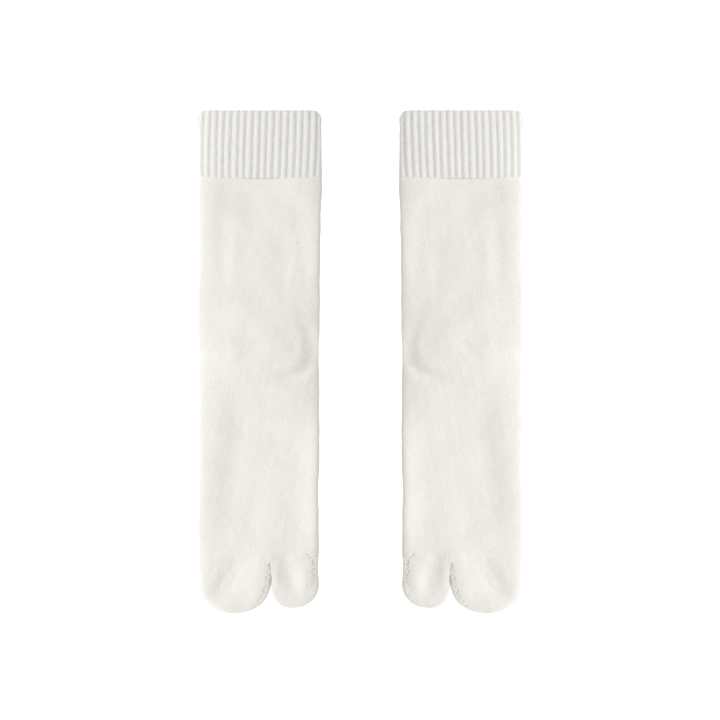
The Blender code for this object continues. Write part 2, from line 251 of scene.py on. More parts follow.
# The toe pockets: straight along the foot, then rounded to their tips
Lobe = namedtuple("Lobe", "outer outer_start inner inner_start tip_u tip_v")
LOBE_POWER = 2.2
LOBE_TOP_LENGTH = 15.0
LOBE_UNDER_LENGTH = 5.0
CLEFT_CROWNS = (9.0, 30.0)  # how full the sides at the cleft are where they part and where they touch
CLEFT_END_V = 23.0  # where the pockets part
TOES_START_V = 27.0  # where the toes' outer side starts to round off
BIG_TOE_START_V = 26.6
TOES_TIP_U = -19.2
BIG_TOE_TIP_U = 27.1
CLEFT_HALF = 0.05
LEAST_DOME = 0.2
POCKET_STEP = 0.46
TIP_ROWS = 1.45  # a rounded tip's rows for each step of its length
LAST_TURN = 89.0
MOUTH_LEAD = 0.5
INSIDE_STEPS = (4, 10)
AROUND_START = 0.75  # where round a pocket its knitting starts

# The heel
HEEL_HALF_WIDTH = 42.6
HEEL_MOUTH_V = 206.3
HEEL_SHOULDER_V = 226.0
HEEL_TIP_V = 252.0
HEEL_LAYER = 2.45
HEEL_INSETS = (17.5, 14.0, 10.5, 7.0, 4.0, 2.0)
HEEL_EDGE_INSET = 0.15
HEEL_TURNS = np.linspace(-90.0, 90.0, 9)
HEEL_ARC_POINTS = 216
HEEL_MOUTH_POINTS = 60
HEEL_COLUMNS = 180
HEEL_ROUND = 250.0
HEEL_SEED = 3

# Seams round the pockets, linked with a soft thread that leaves small gaps between its loops, which are sunk
# in and painted with tan shadow
Seam = namedtuple("Seam", "pitch path")
BIG_TOE_SEAM = Seam(3.9, ((39.1, 46.7), (42.9, 41.8), (42.6, 35), (43.7, 27.5), (42.6, 22.5)))
TOES_SEAM = Seam(5.3, ((8.2, 38.2), (6.6, 31.5), (4.8, 23), (2, 14), (-3.2, 5.6)))
GAP_LENGTH = 1.1
GAP_WIDTH = 0.65
GAP_DEPTH = 0.36
GAP_JITTER = 0.45
GAP_STRENGTH = (0.45, 1.0)
VALLEY_WIDTH = 1.6
VALLEY_DEPTH = 0.10
# The notch where the big toe meets the other toes, between these places along the cleft, sunk in and painted
# with tan shadow
NOTCH_U = 9.7
NOTCH_FROM = 22.6
NOTCH_TO = 30.4
NOTCH_WIDTH = 0.75
NOTCH_DEPTH = 0.9
THREAD_RADIUS = 0.42
THREAD_REACH = 1.5
THREAD_RISE = 0.35
THREAD_SINK = 0.25
THREAD_END = 0.55
THREAD_SLANT = (18.0, 40.0)
THREAD_REACH_SHARE = (0.85, 1.15)
THREAD_SIDES = 8
THREAD_POINTS = 9
THREAD_UV = (0.3, 0.35)
ABOVE_ALL = 40.0

# A small raised speck on the leg, tinted darker
SPECK = (30.4, 295.8)
SPECK_RADIUS = 0.95
SPECK_SHADE = 0.45
SPECK_HEIGHT = 0.3

# The knitting's loops, and its colours: the cloth goes from high to deep where its loops, pebbles and nap
# dip, a painted shade, and gap is the painted shadow colour of a seam's gaps, the cleft's notch and the
# cuff's grooves, also used for the speck's tint
Knit = namedtuple("Knit", "wale course relief high deep gap")
# The painted shadow colour of a seam's gaps and the cleft's notch, also the speck's tint
TAN = (0.63, 0.54, 0.40)
KNITS = {
    # The cuff's gap colour is painted shade for the purl loops deep in its grooves
    "rib_knit": Knit(1.40, 1.15, 0.14, (0.930, 0.922, 0.889), (0.842, 0.830, 0.789), (0.685, 0.666, 0.617)),
    "plain_knit": Knit(1.25, 0.98, 0.12, (0.945, 0.917, 0.866), (0.860, 0.829, 0.772), TAN),
    "heel_knit": Knit(1.25, 0.98, 0.12, (0.925, 0.896, 0.842), (0.840, 0.808, 0.748), TAN),
    "toe_knit": Knit(1.15, 0.90, 0.12, (0.945, 0.920, 0.872), (0.865, 0.838, 0.782), TAN),
    "thread": Knit(0.60, 0.50, 0.10, (0.950, 0.925, 0.870), (0.860, 0.825, 0.760), TAN),
}
STRAND_FULLNESS = 0.7
LOOP_JOIN = 0.35  # what is left of a strand between two loops

# The nap, the pebbled surface and the cloth's slow changes: their sizes, and their shares in relief and tone;
# where nap and pebbles have both, their tone is painted shade in their dips, and the slow changes are random
# tone
Noise = namedtuple("Noise", "scale detail relief light")
NAP = Noise(1500.0, 3.0, 0.6, 0.5)
PEBBLE = Noise(600.0, 2.0, 2.6, 1.1)
CLOUD = Noise(45.0, 2.0, 0.0, 0.4)
PEBBLE_TURN = 38.0
PEBBLE_STRETCH = (1.0, 0.8, 1.0)
# how much lighter the loops' tops are than the dips between them, a painted shade
STITCH_PAINTED_SHADE = 0.45
LIGHT_DROP = 0.65
ROUGHNESS = 0.84
NAP_ROUGHNESS = 0.14
CLOTH_SHEEN = {
    "Metallic": 0.0,
    "Specular IOR Level": 0.25,
    "Sheen Weight": 0.22,
    "Sheen Roughness": 0.6,
    "Sheen Tint": (1.0, 0.98, 0.95, 1.0),
}


# ===== Curves and fields =====

Sock = namedtuple("Sock", "side mirror x y")


def sock_frame(side, mirror):
    """Where a sock's own frame lies: its toes' tip gives y, and the cleft between its toes gives x."""
    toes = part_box(f"{side}_toes")
    big_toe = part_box(f"{side}_big_toe")
    if mirror > 0:
        cleft_x = (toes[1].x + big_toe[0].x) / 2
    else:
        cleft_x = (toes[0].x + big_toe[1].x) / 2
    return Sock(side, mirror, cleft_x - mirror * CLEFT_U * MM, toes[0].y)


def box_in_sock(sock, piece):
    """A CAD node's box in the sock's frame: (lowest u, v, z), (highest u, v, z)."""
    low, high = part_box(f"{sock.side}_{piece}")
    across = sorted(((low.x - sock.x) * sock.mirror / MM, (high.x - sock.x) * sock.mirror / MM))
    along = ((low.y - sock.y) / MM, (high.y - sock.y) / MM)
    return (across[0], along[0], low.z / MM), (across[1], along[1], high.z / MM)


def edges_across(sock, piece, stations):
    """The outer and inner edges of a CAD node's sections at these places along the sock."""
    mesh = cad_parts[f"{sock.side}_{piece}"].data
    places = np.array([vertex.co for vertex in mesh.vertices])
    ends = places[np.array([edge.vertices for edge in mesh.edges])]
    u = (ends[:, :, 0] - sock.x) * sock.mirror / MM
    v = (ends[:, :, 1] - sock.y) / MM
    rows = []
    for station in stations:
        cut = (v.min(axis=1) <= station) & (v.max(axis=1) > station)
        share = (station - v[cut, 0]) / (v[cut, 1] - v[cut, 0])
        at = u[cut, 0] + share * (u[cut, 1] - u[cut, 0])
        rows.append((at.min(), at.max()))
    return np.array(rows)


def rounded(s, power):
    """A superellipse's height at s, from 1 at its middle to 0 at s = -1 or 1."""
    return (1 - np.minimum(1.0, np.abs(s)) ** power) ** (1 / power)


def eased(x):
    """0 below 0, 1 above 1, and a smooth step between."""
    x = np.clip(x, 0.0, 1.0)
    return x * x * (3 - 2 * x)


def smoothed(values, reach):
    """Values at even steps, averaged over this many steps to each side."""
    span = max(1, int(round(reach * 2)))
    weights = np.exp(-((np.arange(-span, span + 1) / reach) ** 2))
    padded = np.pad(values, span, mode="edge")
    return np.convolve(padded, weights / weights.sum(), mode="valid")


def smooth_path(points):
    """Points along a smooth curve through the given ones."""
    points = np.array(points, float)
    ends = np.vstack([2 * points[0] - points[1], points, 2 * points[-1] - points[-2]])
    line = []
    for a, b, c, d in zip(ends, ends[1:], ends[2:], ends[3:]):
        for t in np.arange(PATH_STEPS) / PATH_STEPS:
            bend = (2 * a - 5 * b + 4 * c - d) * t**2 + (3 * b - a - 3 * c + d) * t**3
            line.append(b + 0.5 * ((c - a) * t + bend))
    line.append(points[-1])
    return np.array(line)


def even_steps(line, pitch):
    """Points this far apart along a line, and the line's direction at each."""
    steps = np.hypot(*np.diff(line, axis=0).T)
    reached = np.concatenate([[0.0], np.cumsum(steps)])
    count = max(2, int(round(reached[-1] / pitch)) + 1)
    wanted = np.linspace(0.0, reached[-1], count)
    way = places_on(line, reached, wanted + WAY_REACH) - places_on(line, reached, wanted - WAY_REACH)
    return places_on(line, reached, wanted), way / np.hypot(*way.T)[:, None]


def places_on(line, reached, wanted):
    """The points of a line at the wanted distances along it, where its own points are at the reached ones."""
    return np.column_stack([np.interp(wanted, reached, line[:, k]) for k in range(2)])


def crease_field(u, v, creases):
    """How far the creases lift or sink the cloth."""
    field = np.zeros_like(u)
    for crease in creases:
        line, _ = even_steps(smooth_path(crease.path), CREASE_STEP)
        taper = np.sin(np.pi * np.linspace(CREASE_END, 1 - CREASE_END, len(line))) ** CREASE_TAPER
        nearest = np.full(u.shape, np.inf)
        strength = np.zeros_like(u)
        for (pu, pv), share in zip(line, taper):
            away = (u - pu) ** 2 + (v - pv) ** 2
            closer = away < nearest
            nearest = np.where(closer, away, nearest)
            strength = np.where(closer, share, strength)
        field += crease.height * strength * np.exp(-nearest / crease.width**2)
    return field


def ripple_field(points, ripples, seed):
    """Seeded waves through the cloth, at points with rows (u, v, z)."""
    field = np.zeros(points.shape[:-1])
    for number, ripple in enumerate(ripples):
        random = np.random.default_rng(seed + number)
        total = np.zeros_like(field)
        for _ in range(RIPPLE_WAVES):
            length = random.uniform(ripple.shortest, ripple.longest)
            turn = random.uniform(0.0, 2 * math.pi)
            phase = random.uniform(0.0, 2 * math.pi)
            lean = random.uniform(-1.0, 1.0) * RIPPLE_LEAN
            wave = np.array([math.cos(turn), math.sin(turn), lean]) * 2 * math.pi / length
            total += np.sin(points @ wave + phase)
        field += ripple.height * total / math.sqrt(RIPPLE_WAVES / 2)
    return field


def toe_seam_v(u):
    """The V-shaped seam between the foot and the toe pockets, its point a little rounded."""
    outward = np.hypot(u - CLEFT_U, TOE_SEAM_ROUNDING) - TOE_SEAM_ROUNDING
    rise_out = (TOE_SEAM_AT_OUTER_EDGE - TOE_SEAM_AT_CLEFT) / (CLEFT_U + FOOT_HALF_WIDTH)
    rise_in = (TOE_SEAM_AT_INNER_EDGE - TOE_SEAM_AT_CLEFT) / (FOOT_HALF_WIDTH - CLEFT_U)
    return TOE_SEAM_AT_CLEFT + outward * np.where(u < CLEFT_U, rise_out, rise_in)


def cuff_seam_v(across):
    """The bowed seam between the leg and the cuff, where across is from -1 to 1."""
    return CUFF_SEAM_V - CUFF_SEAM_BOW * rounded(across, ELLIPSE)


# ===== Sections and meshes =====

Section = namedtuple("Section", "outer inner base top")
Mesh = namedtuple("Mesh", "points faces uvs shade")  # uvs are the corners' knitting coordinates, face by face
Finish = namedtuple("Finish", "material slot")


def tube_outline(section, inset, crowns):
    """Points (u, z) all round a flattened tube's section, from its outer edge beneath it and back over it."""
    outer, inner = section.outer + inset, section.inner - inset
    base, top = section.base + inset, section.top - inset
    middle = (outer + inner) / 2
    half = (inner - outer) / 2
    fold = min(max(UNDER_FOLD - inset, LEAST_UNDER_FOLD), half / 2)
    edge = base + EDGE_HEIGHT * (top - base)
    turn = np.linspace(0.0, math.pi / 2, OUTLINE_STEPS // 20)
    corner_u = fold * (1 - np.sin(turn))
    corner_z = base + (edge - base) * (1 - np.cos(turn))
    across = np.cos(np.linspace(0.0, math.pi, OUTLINE_STEPS // 2))
    shape = np.where(across > 0, rounded(across, crowns.inner), rounded(across, crowns.outer))
    flat = np.linspace(outer + fold, inner - fold, OUTLINE_STEPS // 4)[1:-1]
    u = np.concatenate([(outer + corner_u)[::-1], flat, inner - corner_u, (middle + half * across)[1:]])
    over = edge + (top - edge) * shape
    z = np.concatenate([corner_z[::-1], np.full_like(flat, base), corner_z, over[1:]])
    return np.column_stack([u, z])


def round_outline(outline, places=None, count=None):
    """Points at these distances round a closed outline, or count of them at even steps."""
    steps = np.hypot(*np.diff(outline, axis=0).T)
    reached = np.concatenate([[0.0], np.cumsum(steps)])
    if places is None:
        places = np.arange(count) * reached[-1] / count
    return places_on(outline, reached, np.mod(places, reached[-1]))


def outline_length(outline):
    """How far it is round a closed outline."""
    return float(np.hypot(*np.diff(outline, axis=0).T).sum())


def normals_of(rings):
    """Outward unit normals of a grid of rings that each close on themselves."""
    round_it = np.roll(rings, -1, axis=1) - np.roll(rings, 1, axis=1)
    along = np.gradient(rings, axis=0)
    normal = np.cross(along, round_it)
    normal /= np.maximum(np.linalg.norm(normal, axis=2, keepdims=True), 1e-9)
    outwards = rings - rings.mean(axis=1, keepdims=True)
    if (normal * outwards).sum() < 0:
        normal = -normal
    return normal


def top_share(rings, sections):
    """How far each point of rings belongs to the top of their sections: 1 on it, 0 beneath."""
    base = np.array([section.base for section in sections])[:, None]
    top = np.array([section.top for section in sections])[:, None]
    edge = base + EDGE_HEIGHT * (top - base)
    return np.clip((rings[..., 2] - edge) / np.maximum(top - edge, LEAST_RISE), 0.0, 1.0)


def facing_up(normals):
    """1 where the surface faces up, easing to 0 where it stands upright."""
    return eased(normals[..., 2] * UP_SHARPNESS)


def grid_of(rings, around, along, closed):
    """Quads over rings, whose last joins the first if closed, and their corners' places in the knitting.

    around has a column more than the rings have, and around and along have a row more if closed.
    """
    rows, columns = rings.shape[:2]
    row, column = np.meshgrid(np.arange(rows if closed else rows - 1), np.arange(columns), indexing="ij")
    quads, corners = [], []
    for down, right in ((0, 0), (0, 1), (1, 1), (1, 0)):
        quads.append((row + down) % rows * columns + (column + right) % columns)
        corners.append(np.stack([around[row + down, column + right], along[row + down]], axis=-1))
    return np.stack(quads, axis=-1), np.stack(corners, axis=-2) * MM


def closed_at_tips(rings, tips, around, along, shade):
    """A mesh over open rings, with triangles from the first and the last of them to a tip each."""
    quads, uvs = grid_of(rings, around, along, False)
    faces, corner_uvs = quads.reshape(-1, 4).tolist(), uvs.reshape(-1, 4, 2).tolist()
    count, columns = rings.shape[:2]
    last_row = (count - 1) * columns
    first_tip = count * columns
    for c in range(columns):
        beside = (c + 1) % columns
        faces.append([beside, c, first_tip])
        faces.append([last_row + c, last_row + beside, first_tip + 1])
        corner_uvs += [[[0.0, 0.0]] * 3] * 2
    return Mesh(np.vstack([rings.reshape(-1, 3), tips]), faces, corner_uvs, shade)


def add_mesh(name, sock, made, finish):
    """A knitted piece whose points are (u, v, z) in millimetres."""
    u, v, z = made.points.T * MM
    world = np.column_stack([sock.x + sock.mirror * u, sock.y + v, z])
    faces, uvs = made.faces, made.uvs
    if volume_of(world, faces) < 0:
        faces = [face[::-1] for face in faces]
        uvs = [corner[::-1] for corner in uvs]
    mesh = bpy.data.meshes.new(name)
    mesh.from_pydata(world.tolist(), [], faces)
    layer = mesh.uv_layers.new(name="knit")
    layer.data.foreach_set("uv", np.concatenate([np.ravel(corner) for corner in uvs]).astype(np.float32))
    tint = mesh.attributes.new("shade", "FLOAT", "POINT")
    tint.data.foreach_set("value", made.shade.astype(np.float32))
    mesh.shade_smooth()
    mesh.set_sharp_from_angle(angle=math.radians(SHARP_ANGLE))
    mesh.update()
    mesh.materials.append(finish.material)
    piece = bpy.data.objects.new(name, mesh)
    bpy.context.scene.collection.objects.link(piece)
    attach(piece, "root")
    return piece


def add_piece(sock, node, made, finish):
    """A knitted piece in place of one of the sock's CAD nodes."""
    name = f"{sock.side}_{node}"
    piece = add_mesh(f"{name}_knit", sock, made, finish)
    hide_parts(name)
    return piece


def volume_of(points, faces):
    """The volume that the faces enclose, negative if they are inside out."""
    total = 0.0
    by_size = {}
    for face in faces:
        by_size.setdefault(len(face), []).append(face)
    for size, group in by_size.items():
        corners = points[np.array(group)]
        for k in range(1, size - 1):
            total += (corners[:, 0] * np.cross(corners[:, k], corners[:, k + 1])).sum() / 6
    return total


# ===== Materials =====


def node_makers(tree):
    """Functions that add nodes to a material, and one that feeds a value or another node to a socket."""

    def add(kind, **sockets):
        node = tree.nodes.new(f"ShaderNode{kind}")
        for socket, value in sockets.items():
            feed(value, node.inputs[socket])
        return node

    def feed(value, socket):
        if isinstance(value, bpy.types.NodeSocket):
            tree.links.new(value, socket)
        else:
            socket.default_value = value

    def calc(operation, *values):
        node = add("Math")
        node.operation = operation
        for socket, value in zip(node.inputs, values):
            feed(value, socket)
        return node.outputs[0]

    def noise(coordinates, kind):
        return add("TexNoise", Vector=coordinates, Scale=kind.scale, Detail=kind.detail).outputs["Fac"]

    def mixed(factor, first, second):
        node = add("Mix")
        node.data_type = "RGBA"
        for socket, value in (("Factor", factor), ("A", first), ("B", second)):
            feed((*value, 1.0) if isinstance(value, tuple) else value, node.inputs[socket])
        return node.outputs["Result"]

    return add, feed, calc, noise, mixed


def stitch_height(add, calc, knit):
    """How high the loops stand, as two slanting strands to each column."""
    uv = add("UVMap")
    uv.uv_map = "knit"
    split = add("SeparateXYZ", Vector=uv.outputs["UV"])
    across = calc("MULTIPLY", split.outputs["X"], 1 / (knit.wale * MM))
    along = calc("MULTIPLY", split.outputs["Y"], 1 / (knit.course * MM))
    leg = calc("MULTIPLY", calc("PINGPONG", across, 0.5), 2.0)
    strand = calc("POWER", calc("SINE", calc("MULTIPLY", leg, math.pi)), STRAND_FULLNESS)
    turn = calc("FRACT", calc("ADD", along, calc("MULTIPLY", leg, 0.5)))
    loop = calc("POWER", calc("SINE", calc("MULTIPLY", turn, math.pi)), STRAND_FULLNESS)
    return calc("MULTIPLY", strand, calc("MULTIPLY_ADD", loop, 1 - LOOP_JOIN, LOOP_JOIN))


def knit_material(name, knit):
    """Cotton knitting: columns of V-shaped loops and a soft nap over them, painted darker in their dips as
    painted shade, with painted tan shadow in a seam's gaps and the cleft's notch and painted shade in the
    cuff's grooves.
    """
    material = bpy.data.materials.new(name)
    material.use_nodes = True
    shader = material.node_tree.nodes["Principled BSDF"]
    add, feed, calc, noise, mixed = node_makers(material.node_tree)
    stitch = stitch_height(add, calc, knit)
    place = add("TexCoord").outputs["Object"]
    slant = add("Mapping", Rotation=(0.0, 0.0, math.radians(PEBBLE_TURN)), Scale=PEBBLE_STRETCH, Vector=place)
    nap = noise(place, NAP)
    pebble = noise(slant.outputs["Vector"], PEBBLE)
    cloud = noise(place, CLOUD)

    relief = calc("MULTIPLY_ADD", nap, NAP.relief, calc("MULTIPLY_ADD", pebble, PEBBLE.relief, stitch))
    bump = add("Bump", Strength=1.0, Distance=knit.relief * MM, Height=relief)
    # The colour is darker where the loops, pebbles and nap dip, a painted shade, and the slow clouds vary it
    # at random
    lightness = calc("MULTIPLY_ADD", pebble, PEBBLE.light, calc("MULTIPLY", stitch, STITCH_PAINTED_SHADE))
    lightness = calc("MULTIPLY_ADD", nap, NAP.light, lightness)
    lightness = calc("MULTIPLY_ADD", cloud, CLOUD.light, lightness)
    cloth = mixed(calc("SUBTRACT", lightness, LIGHT_DROP), knit.deep, knit.high)
    # The shade attribute mixes in the gap colour: painted shadow in a seam's gaps and the cleft's notch,
    # painted shade in the cuff's grooves, and the speck's tint
    tint = add("Attribute")
    tint.attribute_name = "shade"

    feed(mixed(tint.outputs["Fac"], cloth, knit.gap), shader.inputs["Base Color"])
    feed(bump.outputs["Normal"], shader.inputs["Normal"])
    feed(calc("MULTIPLY_ADD", nap, NAP_ROUGHNESS, ROUGHNESS), shader.inputs["Roughness"])
    for socket, value in CLOTH_SHEEN.items():
        feed(value, shader.inputs[socket])
    return material


# ===== The leg and foot =====


def uneven(rings, share, under_creases):
    """The cloth's creases and ripples worked into an outside surface, its resting underside kept flat."""
    normals = normals_of(rings)
    u, v = rings[..., 0], rings[..., 1]
    lift = share * crease_field(u, v, TOP_CREASES)
    under = np.clip(-normals[..., 2], 0.0, 1.0) ** 2
    lift_under = under * crease_field(u, v, under_creases)
    ripple = ripple_field(rings, CLOTH_RIPPLES, RIPPLE_SEED)
    ripple = np.where(under > 0.5, -np.abs(ripple) * UNDER_RIPPLE_SHARE, ripple)
    sideways = eased(np.abs(normals[..., 0]) * SIDE_SHARPNESS)
    ripple *= 1 - (1 - eased(np.abs(u - CLEFT_U) / CLEFT_CALM)) * sideways
    moved = rings + normals * (ripple + lift_under)[..., None]
    moved[..., 2] += lift
    return moved


def leg_foot_ring_maker(sock, from_v, to_v):
    """A function that gives the leg and foot's ring, and its section, at a place along the sock."""
    stations = np.arange(TOE_SEAM_AT_INNER_EDGE + EDGE_ROW, CUFF_SEAM_V - CUFF_SEAM_BOW - EDGE_ROW, EDGE_ROW)
    outer_at, inner_at = (
        smoothed(edge, EDGE_SMOOTHING / EDGE_ROW) for edge in edges_across(sock, "leg_foot", stations).T
    )
    every = np.arange(from_v, to_v + EDGE_ROW, EDGE_ROW)
    table = {field: [getattr(row, field) for row in HEIGHTS] for field in HeightAt._fields}
    base_at = smoothed(np.interp(every, table["v"], table["base"]), HEIGHT_SMOOTHING / EDGE_ROW)
    top_at = smoothed(np.interp(every, table["v"], table["top"]), 2 * HEIGHT_SMOOTHING / EDGE_ROW)
    cuff_foot = edges_across(sock, "cuff", (CUFF_SEAM_V + EDGE_ROW,))[0]
    cuff_middle, cuff_half = cuff_foot.sum() / 2, (cuff_foot[1] - cuff_foot[0]) / 2

    def ring(v, inset):
        section = Section(
            np.interp(v, stations, outer_at),
            np.interp(v, stations, inner_at),
            max(0.0, np.interp(v, every, base_at) - BASE_SLACK),
            np.interp(v, every, top_at),
        )
        crowns = Crowns(*[np.interp(v, table["v"], table[field]) for field in ("outer_crown", "inner_crown")])
        points = round_outline(tube_outline(section, inset, crowns), count=LEG_COLUMNS)
        u = points[:, 0]
        near_toes = 1 - eased((v - LEG_FOOT_FROM) / SEAM_FADE)
        near_cuff = 1 - eased((LEG_FOOT_TO - v) / SEAM_FADE)
        shift = near_toes * (toe_seam_v(u) - TOE_SEAM_AT_CLEFT)
        shift += near_cuff * (cuff_seam_v((u - cuff_middle) / cuff_half) - CUFF_SEAM_V)
        return np.column_stack([u, v + shift, points[:, 1]]), section

    return ring


def leg_foot_rows():
    """The outside's rings, each a place and an inset, and the two rows with the heel's opening between."""
    start = LEG_FOOT_FROM + SEAM_EDGE[-1].along + SEAM_LEAD
    end = LEG_FOOT_TO - SEAM_EDGE[-1].along - SEAM_LEAD
    evenly = np.linspace(start, end, int(round((end - start) / LEG_ROW)) + 1)
    opening = [int(np.abs(evenly - v).argmin()) for v in HEEL_OPENING_V]
    evenly[opening] = HEEL_OPENING_V
    rows = [(LEG_FOOT_FROM - SEAM_GAP / 2 + edge.along, edge.inset) for edge in SEAM_EDGE]
    rows += [(v, 0.0) for v in evenly]
    rows += [(LEG_FOOT_TO + SEAM_GAP / 2 - edge.along, edge.inset) for edge in reversed(SEAM_EDGE)]
    return rows, [len(SEAM_EDGE) + row for row in opening]


def finish_outside(rings, sections):
    """The outside with its creases, its seam's gaps and its speck, and how far each place is painted towards
    the gap colour: painted shadow in the gaps, and the speck's tint.
    """
    rings = uneven(rings, top_share(rings, sections), UNDER_CREASES)
    upward = facing_up(normals_of(rings))
    depth, shade = gap_field(rings[..., 0], rings[..., 1], BIG_TOE_SEAM)
    away = (rings[..., 0] - SPECK[0]) ** 2 + (rings[..., 1] - SPECK[1]) ** 2
    speck = np.exp(-away / SPECK_RADIUS**2)
    rings[..., 2] = np.maximum(rings[..., 2] + (SPECK_HEIGHT * speck - depth) * upward, 0.0)
    return rings, np.maximum(shade, SPECK_SHADE * speck) * upward


def leg_foot_inside(ring, by_opening):
    """The inside's coarser rings, which follow the outside's creases, and their places."""
    coarse = np.arange(LEG_FOOT_FROM + INSIDE_CLEAR, LEG_FOOT_TO - INSIDE_CLEAR, INSIDE_ROW)
    away = [v for v in coarse if not by_opening[0] - OPENING_CLEAR < v < by_opening[-1] + OPENING_CLEAR]
    places = sorted([LEG_FOOT_FROM, *away, *by_opening, LEG_FOOT_TO])
    rings, sections = zip(*[ring(v, WALL) for v in places])
    rings = np.array(rings)
    rings[..., 2] += top_share(rings, sections) * crease_field(rings[..., 0], rings[..., 1], TOP_CREASES)
    return rings, places


def cut_opening(rings, quads, uvs, out_rows, in_first):
    """The faces without those in the heel's opening, and with a wall all round it."""
    under = rings[out_rows[0], : LEG_COLUMNS // 2, 0]
    left, right = (int(np.abs(under - side * HEEL_OPENING_HALF_WIDTH).argmin()) for side in (-1, 1))
    keep = np.ones(quads.shape[:2], bool)
    keep[out_rows[0] : out_rows[1], left:right] = False
    keep[in_first - out_rows[1] + out_rows[0] : in_first, left:right] = False
    faces = quads[keep].tolist()
    corner_uvs = uvs[keep].tolist()

    def wall(first, second):
        outside = [row * LEG_COLUMNS + column for row, column in (second, first)]
        inside = [(in_first - row + out_rows[0]) * LEG_COLUMNS + column for row, column in (first, second)]
        faces.append(outside + inside)
        corner_uvs.append([[0.0, 0.0], [MM, 0.0], [MM, WALL * MM], [0.0, WALL * MM]])

    for c in range(left, right):
        wall((out_rows[0], c), (out_rows[0], c + 1))
        wall((out_rows[1], c + 1), (out_rows[1], c))
    for r in range(*out_rows):
        wall((r + 1, left), (r, left))
        wall((r, right), (r + 1, right))
    return faces, corner_uvs


def make_leg_foot(sock, finishes):
    """The plain tube from the toe seam to the cuff, with an opening in its back for the heel."""
    low, high = box_in_sock(sock, "leg_foot")
    ring = leg_foot_ring_maker(sock, low[1], high[1])
    rows, opening = leg_foot_rows()
    outside, sections = zip(*[ring(v, inset) for v, inset in rows])
    outside, shade = finish_outside(np.array(outside), sections)
    by_opening = [v for v, _ in rows[opening[0] : opening[1] + 1]]
    inside, inside_v = leg_foot_inside(ring, by_opening)

    rings = np.concatenate([outside, inside[::-1]])
    wale = KNITS["plain_knit"].wale
    around_length = round(2 * (high[0] - low[0]) / wale) * wale
    around = np.tile(np.linspace(0.0, around_length, LEG_COLUMNS + 1), (len(rings) + 1, 1))
    along = np.concatenate([[v for v, _ in rows], inside_v[::-1], [inside_v[0] - WALL]])
    quads, uvs = grid_of(rings, around, along, True)
    in_first = len(rings) - 1 - inside_v.index(by_opening[0])
    faces, corner_uvs = cut_opening(rings, quads, uvs, opening, in_first)
    shade = np.concatenate([shade.ravel(), np.zeros(inside[..., 0].size)])
    mesh = Mesh(rings.reshape(-1, 3), faces, corner_uvs, shade)
    piece = add_piece(sock, "leg_foot", mesh, finishes["plain_knit"])


# ===== The cuff =====


def cuff_ring_maker(foot, head, top):
    """A maker of the cuff's ring at a height from 0 to 1, and where in the ribs its columns are."""
    stray = np.random.default_rng(RIPPLE_SEED).uniform(-RIB_WOBBLE, RIB_WOBBLE, RIBS)
    cord = -np.cos(np.pi * np.arange(RIB_STEPS) / RIB_STEPS)
    depth = np.tile(1 - np.cos(cord * math.pi / 2) ** RIB_POWER, RIBS)
    in_ribs = np.repeat(np.arange(RIBS), RIB_STEPS) + np.tile((cord + 1) / 2, RIBS)
    shift = np.interp(in_ribs, np.arange(RIBS + 1), np.append(stray, stray[0]))
    middle, half = (foot[0] + foot[1]) / 2, (foot[1] - foot[0]) / 2

    def ring(height, inset, ribbed, v_of):
        outer, inner = foot + height * (head - foot)
        section = Section(outer, inner, 0.0, top - CUFF_FOOT_LOWER * (1 - height))
        outline = tube_outline(section, inset, CROWNS)
        places = in_ribs * outline_length(outline) / RIBS
        across = np.clip((round_outline(outline, places=places)[:, 0] - outer) / (inner - outer), 0.0, 1.0)
        late, early = height**2, 1 - (1 - height) ** 2
        places += shift - RIB_TWIST * (late + across * (early - late))
        wave = RIB_WAVE * math.sin(RIB_WAVE_TURN * height)
        points = round_outline(outline, places=places + shift * wave)
        way = round_outline(outline, places=places + RIB_AHEAD) - points
        way /= np.maximum(np.hypot(*way.T), 1e-9)[:, None]
        inward = np.column_stack([-way[:, 1], way[:, 0]])
        points = points + inward * (RIB_DEPTH * ribbed * depth)[:, None]
        return np.column_stack([points[:, 0], v_of((points[:, 0] - middle) / half), points[:, 1]])

    return ring, in_ribs, depth


def cuff_rings(ring, half, top_edge):
    """The cuff's rings up its outside, over its lip and down its inside, and how far along they come."""

    def top_v(across):
        corner = np.where(across > 0, CUFF_CORNERS.inner, CUFF_CORNERS.outer)
        past = 1 - (1 - np.minimum(1.0, np.abs(across))) * half / corner
        return top_edge - corner * (1 - rounded(np.maximum(0.0, past), ELLIPSE))

    def height_v(height):
        return lambda across: cuff_seam_v(across) + height * (top_v(across) - CUFF_LIP - cuff_seam_v(across))

    tall = top_edge - CUFF_LIP - CUFF_SEAM_V
    count = int(round(tall / CUFF_ROW))
    rings, along = [], []
    for edge in SEAM_EDGE:
        rise = edge.along - SEAM_GAP / 2
        rings.append(ring(0.0, edge.inset, RIB_FOOT_DEPTH, lambda a, rise=rise: cuff_seam_v(a) + rise))
        along.append(edge.along)
    for reached in np.linspace(CUFF_FIRST_ROW, tall, count + 1):
        height = reached / tall
        ribbed = RIB_END_DEPTH + (1 - RIB_END_DEPTH) * eased((tall - reached) / RIB_END_FADE)
        rings.append(ring(height, 0.0, ribbed, height_v(height)))
        along.append(reached)
    for turn in np.radians(LIP_TURNS):
        inset = CUFF_WALL / 2 * (1 - math.cos(turn))
        ribbed = RIB_END_DEPTH * (1 + math.cos(turn)) / 2
        below = CUFF_LIP * (1 - math.sin(turn))
        rings.append(ring(1.0, inset, ribbed, lambda a, below=below: top_v(a) - below))
        along.append(along[-1] + LIP_ROW)
    outside_rows = len(rings)
    for height in CUFF_INSIDE_HEIGHTS:
        rings.append(ring(height, CUFF_WALL, 0.0, height_v(height)))
        along.append(along[-1] + CUFF_INSIDE_ROW)
    return np.array(rings), np.append(along, along[-1] + CUFF_WALL), outside_rows


